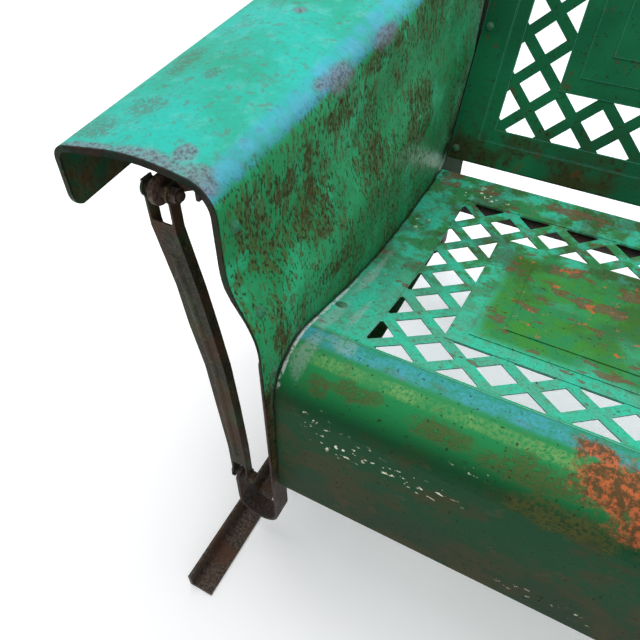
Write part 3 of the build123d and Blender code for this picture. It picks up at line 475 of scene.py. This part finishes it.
def arm_bend(s, line, middle, fine):
    """The bend, with a painted sky reflection in cool blue, and here and there rubbed to bare
    metal, which is returned.
    """
    bend = s.both(s.band(line, ARM_BEND, 0.006), s.step(s.axis("X"), *INBOARD_OF_BEND))
    # painted reflection of the sky along the bend
    s.coat(s.both(bend, s.blend(s.step(middle, 0.35, 0.6), 0.20, 0.60)), BEND_REFLECTION_BLUE)
    bare = s.blobs(ARM_BARE, 0.7, s.noise(70, 5, 0.75))
    tone = s.mix(s.step(fine, 0.44, 0.62), BARE, BARE_DARK)
    s.coat(s.both(bare, s.blend(s.step(fine, 0.3, 0.6), 0.45, 0.85)), tone)
    return bare


def arm_hollow(s, facing_in, facing_up, middle):
    """The undersides and the hollow of the arm, darkened to dark green and rusty brown: painted
    shade, with rust in places.
    """
    under = s.step(facing_up, -0.15, -0.35)
    lip_back = s.both(s.step(s.axis("X"), *BEHIND_LIP), s.step(facing_in, 0.2, 0.4))
    side_back = s.both(s.step(s.axis("X"), *BEHIND_SIDE), s.step(facing_in, -0.2, -0.4))
    shaded_hollow = s.either(under, s.either(lip_back, side_back))
    tone = s.mix(s.step(middle, 0.40, 0.58), HOLLOW_SHADE_GREEN, HOLLOW_SHADE_BROWN)
    # painted shade under the arm and in its hollow
    s.coat(shaded_hollow, tone, 0.85)


def arm_edges(s, line, grain, middle):
    """The turned front and rear edges, darkened as painted shade with rusty brown, and the lip
    and the foot of the sides, dark and rusty.
    """
    height = s.axis("Z")
    depth = s.math("ABSOLUTE", s.axis("Y"))
    edge = s.step(depth, BODY_Y - 0.0024, BODY_Y - 0.0010)
    # painted shade on the turned front and rear edges, mixed with rust brown
    s.coat(edge, s.mix(s.step(middle, 0.42, 0.60), EDGE_SHADE_GREEN, EDGE_SHADE_AND_RUST_BROWN), 0.95)
    lip = s.both(s.step(s.axis("X"), *LIP_FACE), s.step(line, *LIP_LOW))
    s.coat(lip, s.mix(s.step(grain, 0.42, 0.6), LIP_GREEN, RUST), 0.7)
    s.coat(s.step(height, 0.20, 0.155), RUST_DARK, 0.6)
    foot = s.both(s.step(height, 0.350, 0.315), s.step(depth, BODY_Y - 0.024, BODY_Y - 0.008))
    s.coat(foot, s.mix(s.step(middle, 0.42, 0.60), EDGE_SHADE_AND_RUST_BROWN, FOOT_BROWN), 0.85)


def arm_shade(s, off_top, middle):
    """The side behind the back and low beside it, dark and dull. Returns its mask."""
    height = s.axis("Z")
    back_face = s.math("ADD", s.both(height, BACK_LEAN), BACK_FOOT)
    behind = s.math("SUBTRACT", s.axis("Y"), back_face)
    shaded = s.both(off_top, s.step(behind, -0.004, 0.002))
    beside = s.both(s.step(behind, -0.060, -0.010), s.step(height, 0.40, 0.33))
    shaded = s.either(shaded, s.both(beside, s.step(middle, 0.30, 0.60)))
    s.coat(shaded, SHADE, 0.9)
    return shaded


def arm_paint():
    s = Shader("arm_paint")
    facing_in, facing_up = s.fold_sides()
    climb = s.both(s.math("ADD", s.axis("Y"), BODY_Y), ARM_RISE)
    line = s.math("SUBTRACT", s.axis("Z"), climb)
    on_top = s.step(line, *ARM_TOP)
    off_top = s.outside(on_top)
    grain = s.noise(24, 4, 0.65)
    middle = s.noise(46, 4, 0.62)
    fine = s.noise(300, 3, 0.7)
    arm_enamel(s, on_top, middle)
    speckled = arm_speckle(s, off_top, grain, fine)
    rusted = arm_top_rust(s, on_top, grain, fine)
    bare = arm_bend(s, line, middle, fine)
    arm_hollow(s, facing_in, facing_up, middle)
    arm_edges(s, line, grain, middle)
    shaded = arm_shade(s, off_top, middle)
    pitted = s.either(speckled, s.either(s.either(rusted, bare), shaded))
    rough = s.blend(pitted, s.blend(fine, 0.26, 0.40), 0.80)
    return s.finish(rough, s.enamel_relief(pitted, 0.8, 0.6), 0.0006, PAINT_GLOSS)


# ---- seat -----------------------------------------------------------------------------
def seat_panels(s):
    """Mask of the pressed middle of each bay of the seat."""
    shifted = s.math("ADD", s.axis("X"), LATTICE_HALF)
    past = s.math("MODULO", shifted, BAY_LENGTH)
    from_middle = s.math("ABSOLUTE", s.math("SUBTRACT", past, BAY_LENGTH / 2))
    reach = BAY_LENGTH / 2 - (0.5 + PANEL_INSET) * PITCH
    along = s.step(from_middle, reach + PANEL_FADE, reach - PANEL_FADE)
    across = s.math("ABSOLUTE", s.math("SUBTRACT", s.axis("Y"), SEAT_MIDDLE_Y))
    depth = SEAT_HALF_DEPTH - PANEL_INSET * ROW_PITCH
    deep = s.step(across, depth + PANEL_FADE, depth - PANEL_FADE)
    return s.both(along, deep)


def seat_enamel(s, on_panels, soft, middle):
    """Teal, worn to a grass green on the panels and to the rear, grey on the lattice."""
    teal = s.mix(s.step(middle, 0.40, 0.62), SEAT_TEAL, SEAT_TEAL_DULL)
    grass = s.mix(s.step(middle, 0.36, 0.64), SEAT_GRASS, SEAT_GREEN)
    rear = s.step(s.math("ADD", s.axis("Y"), s.both(soft, 0.24)), -0.02, 0.14)
    worn_panels = s.both(on_panels, s.step(soft, 0.30, 0.48))
    worn_rear = s.both(rear, s.step(middle, 0.42, 0.56))
    s.colour = s.mix(s.either(worn_panels, worn_rear), teal, grass)
    worn_bars = s.patches(0.50, 0.66, 90, 4, 0.7, EVEN, (4, 2, 0))
    s.coat(s.both(s.outside(on_panels), worn_bars), BAR_GREY, 0.55)
    s.coat(s.patches(0.44, 0.64, 330, 4, 0.75, EVEN, (2, 2, 7)), GRIME, 0.38)


def seat_roll(s, front, middle, fine):
    """The roll, from a painted sky reflection in cool blue on the crest and a painted yellow
    highlight, through green to an apron that darkens downwards as painted shade, with stains.
    """
    y, height = s.axis("Y"), s.axis("Z")
    # the roll turns darker down the apron: painted shade
    s.coat(front, s.mix(s.step(height, 0.356, 0.322), ROLL_GREEN, APRON_SHADE_GREEN))
    # painted reflection of the sky along the crest
    crest = s.both(s.band(y, CREST_Y, 0.007), s.step(height, 0.345, 0.352))
    crest = s.both(crest, s.blend(s.step(fine, 0.38, 0.58), 0.45, 1.0))
    s.coat(s.both(crest, s.blend(s.step(middle, 0.35, 0.62), 0.30, 0.70)), CREST_REFLECTION_BLUE)
    # painted highlight along the roll
    glow = s.both(s.band(y, GLOW_Y, 0.004), s.patches(0.32, 0.70, 16, 3, 0.6, (1, 0.2, 0.2)))
    s.coat(s.both(glow, s.step(fine, 0.36, 0.60)), ROLL_HIGHLIGHT_YELLOW, 0.5)
    # painted shade, darkest at the foot of the apron
    s.coat(s.step(height, 0.270, 0.170), APRON_LOW_SHADE, 0.85)
    smears = s.patches(0.46, 0.60, 14, 5, 0.68, (1, 1, 1.4), (2, 5, 9))
    s.coat(s.both(s.step(height, 0.345, 0.30), smears), APRON_BROWN, 0.6)


def seat_rust(s, front, on_panels, grain, fine):
    """Stains, flakes, specks and orange bursts. Returns the mask of all but the orange specks."""
    field = s.either(s.blobs(SEAT_FLAKES, 0.9, grain), s.both(on_panels, 0.35))
    spread = s.blend(field, 0.0, 0.12)
    stained = s.both(s.blobs(SEAT_STAINS, 1.0, grain), s.step(fine, 0.36, 0.52))
    s.coat(stained, STAIN_OLIVE, 0.7)
    flakes = s.math("ADD", s.noise(34, 5, 0.66, (0.8, 1.5, 1.0)), spread)
    rusted = s.both(s.step(flakes, 0.610, 0.650), s.blend(front, 1.0, 0.25))
    s.coat(rusted, s.mix(s.step(fine, 0.42, 0.6), FLAKE_GREY, FLAKE_BROWN), 0.8)
    orange = s.math("ADD", s.noise(60, 4, 0.7, EVEN, (7, 1, 1)), spread)
    s.coat(s.both(s.step(orange, 0.68, 0.72), on_panels), RUST_ORANGE, 0.8)
    speck = s.patches(0.66, 0.71, 230, 2, 0.6, EVEN, (0, 3, 8))
    s.coat(speck, RUST_DARK, 0.7)
    burst = s.blobs(SEAT_ORANGE, 1.1, s.noise(80, 5, 0.75))
    s.coat(burst, s.mix(s.patches(0.40, 0.54, 170, 5, 0.8), RUST_ORANGE, BURST_BROWN), 0.95)
    return s.either(s.either(rusted, stained), s.either(burst, speck))


def seat_chips(s, grain, middle, fine):
    """Edges lightened as painted highlight and wear, chips, and a dark strip along the gap beside
    the side panels. Returns the mask of the chips.
    """
    height = s.axis("Z")
    aside = s.math("ABSOLUTE", s.axis("X"))
    on_seat = s.outside(s.step(height, 0.345, 0.335))
    # lighter edges: painted highlight on the pressed steps, and wear
    s.coat(s.both(s.sharp_edges(), on_seat), SEAT_EDGE_HIGHLIGHT_AND_WEAR, 0.55)
    silver = s.both(s.blobs(SEAT_SILVER, 0.9, grain), s.step(fine, 0.34, 0.50))
    s.coat(silver, SILVER, 0.35)
    rubbed = s.both(s.band(aside, BODY_END, 0.0012), s.step(height, 0.325, 0.340))
    s.coat(s.both(rubbed, s.patches(0.40, 0.54, 110, 4, 0.75)), RUBBED)
    scatter = s.patches(0.62, 0.64, 120, 3, 0.62, (0.8, 1, 1.3), (9, 9, 0))
    chips = s.both(s.blobs(SEAT_CREAM, 0.6, grain), scatter)
    s.coat(chips, CREAM)
    # a dark strip along the gap beside the side panels
    toward_gap = s.math("ADD", aside, s.both(middle, 0.006))
    s.coat(s.step(toward_gap, 0.7660, 0.7685), GAP_DARK, 0.9)
    return chips


def seat_paint():
    s = Shader("seat_paint")
    soft = s.noise(8, 4)
    middle = s.noise(40, 4, 0.62)
    grain = s.noise(50, 4, 0.7)
    fine = s.noise(280, 3, 0.7)
    front = s.step(s.axis("Y"), -0.236, -0.250)
    on_panels = seat_panels(s)
    seat_enamel(s, on_panels, soft, middle)
    seat_roll(s, front, middle, fine)
    pitted = seat_rust(s, front, on_panels, grain, fine)
    chips = seat_chips(s, grain, middle, fine)
    rough = s.blend(s.either(pitted, chips), s.blend(fine, 0.24, 0.38), 0.78)
    return s.finish(rough, s.enamel_relief(pitted, 0.9, 0.4), 0.0006, PAINT_GLOSS)


# ---- back and steel -------------------------------------------------------------------
def back_paint():
    s = Shader("back_paint")
    soft = s.noise(7, 4)
    fine = s.noise(280, 3, 0.7)
    s.colour = s.mix(s.step(soft, 0.35, 0.65), BACK_GREEN, BACK_DEEP)
    stain = s.both(s.step(s.axis("Z"), 0.43, 0.325), s.patches(0.40, 0.60, 20, 5, 0.66))
    s.coat(stain, BACK_STAIN, 0.8)
    speck = s.step(s.math("ADD", s.noise(190, 3, 0.65), s.both(stain, 0.08)), 0.62, 0.68)
    s.coat(speck, BACK_SPECK, 0.75)
    s.coat(s.patches(0.62, 0.68, 26, 5, 0.7, EVEN, (3, 3, 8)), BACK_RUST, 0.6)
    # lighter edges: painted highlight on the pressed steps, and wear
    s.coat(s.sharp_edges(), BACK_EDGE_HIGHLIGHT_AND_WEAR, 0.6)
    rough = s.blend(s.either(stain, speck), s.blend(fine, 0.24, 0.38), 0.75)
    return s.finish(rough, s.enamel_relief(speck, 0.9, 0.4), 0.0005, PAINT_GLOSS)


def old_steel(name, dark, light, rust, tint=None):
    """Rusted steel. A tint is old paint that is left on it in patches."""
    s = Shader(name)
    pits = s.noise(300, 4, 0.7)
    soft = s.noise(26, 4, 0.6)
    s.colour = s.mix(s.step(pits, 0.38, 0.66), dark, light)
    if tint:
        s.coat(s.patches(0.46, 0.56, 30, 4, 0.65, (1, 1, 0.5), (2, 2, 2)), tint, 0.8)
    s.coat(s.step(soft, 0.46, 0.64), rust, 0.8)
    s.coat(s.patches(0.60, 0.68, 180, 3, 0.7, EVEN, (1, 6, 2)), STEEL_SPECK, 0.6)
    s.coat(s.sharp_edges(), STEEL_EDGE, 0.35)
    return s.finish(s.blend(soft, 0.45, 0.85), pits, 0.0007, STEEL_GLOSS)


# ---- nodes ----------------------------------------------------------------------------
# How far the edges of a slot's nodes are rounded. The other slots stay sharp.
SOFT_EDGES = {
    "seat_paint": 0.0005,
    "back_paint": 0.0005,
    "arm_paint": 0.0006,
    "link_steel": 0.0005,
    "strap_steel": 0.0009,
    "base_steel": 0.0006,
}
SHARP_ANGLE = math.radians(40)
WELD_DISTANCE = 0.00001


def slot_materials():
    """The material of each slot."""
    materials = {"arm_paint": arm_paint(), "seat_paint": seat_paint(), "back_paint": back_paint()}
    for slot, tones in STEELS.items():
        materials[slot] = old_steel(slot, *tones)
    return materials


def soften(node, width):
    """Rounds the sharp edges of a node, and shades it smoothly between them."""
    weld = node.modifiers.new("weld", "WELD")
    weld.merge_threshold = WELD_DISTANCE
    bevel = node.modifiers.new("bevel", "BEVEL")
    bevel.width = width
    bevel.segments = 2
    bevel.limit_method = "ANGLE"
    bevel.angle_limit = SHARP_ANGLE
    bevel.use_clamp_overlap = True
    normals = node.modifiers.new("normals", "WEIGHTED_NORMAL")
    normals.keep_sharp = True


def paint_nodes():
    """Gives each node the material of its slot."""
    materials = slot_materials()
    for row in frame["record"]["subparts"]:
        node, slot = nodes[row["node"]], row["material_slot"]
        node.data.materials.clear()
        node.data.materials.append(materials[slot])
        if slot in SOFT_EDGES:
            soften(node, SOFT_EDGES[slot])


# ---- floor and light ------------------------------------------------------------------
FLOOR_SIZE = 12
FLOOR_TONE = (0.9, 0.9, 0.9, 1)
FLOOR_ROUGHNESS = 0.9
FLOOR_GLOW = 0.22       # the floor is a light table, so that shadows on it stay pale
WORLD_TONE = (0.95, 0.97, 1.0, 1.0)
WORLD_STRENGTH = 0.60
WHITE = (1.0, 1.0, 1.0)
COOL = (0.78, 0.90, 1.0)
LIGHTS = {
    "sky": {
        "place": (-1.2, 0.35, 2.9),
        "target": (-0.6, -0.05, 0.4),
        "size": 1.9,
        "power": 50,
        "colour": WHITE,
    },
    "rim": {
        "place": (0.7, 1.9, 2.5),
        "target": (-0.7, 0.0, 0.5),
        "size": 1.3,
        "power": 46,
        "colour": COOL,
    },
    "fill": {
        "place": (0.2, -2.4, 1.4),
        "target": (-0.5, -0.2, 0.3),
        "size": 2.0,
        "power": 3,
        "colour": WHITE,
    },
}


def add_floor():
    """Plain pale floor."""
    bpy.ops.mesh.primitive_plane_add(size=FLOOR_SIZE)
    floor = bpy.context.object
    floor.name = "floor"
    s = Shader("floor")
    s.surface.inputs["Base Color"].default_value = FLOOR_TONE
    s.surface.inputs["Roughness"].default_value = FLOOR_ROUGHNESS
    s.surface.inputs["Emission Color"].default_value = (*WHITE, 1.0)
    s.surface.inputs["Emission Strength"].default_value = FLOOR_GLOW
    floor.data.materials.append(s.material)


def add_light(name, place, target, size, power, colour):
    """Square light that looks at a target."""
    data = bpy.data.lights.new(name, "AREA")
    data.size = size
    data.energy = power
    data.color = colour
    light = bpy.data.objects.new(name, data)
    light.location = place
    aim = Vector(target) - Vector(place)
    light.rotation_euler = aim.to_track_quat("-Z", "Y").to_euler()
    bpy.context.scene.collection.objects.link(light)


def add_world():
    world = bpy.data.worlds.new("studio")
    world.use_nodes = True
    background = world.node_tree.nodes["Background"]
    background.inputs["Color"].default_value = WORLD_TONE
    background.inputs["Strength"].default_value = WORLD_STRENGTH
    bpy.context.scene.world = world


add_camera()
paint_nodes()
add_floor()
for light_name, light_setup in LIGHTS.items():
    add_light(light_name, **light_setup)
add_world()
bpy.context.scene.view_settings.view_transform = "Standard"
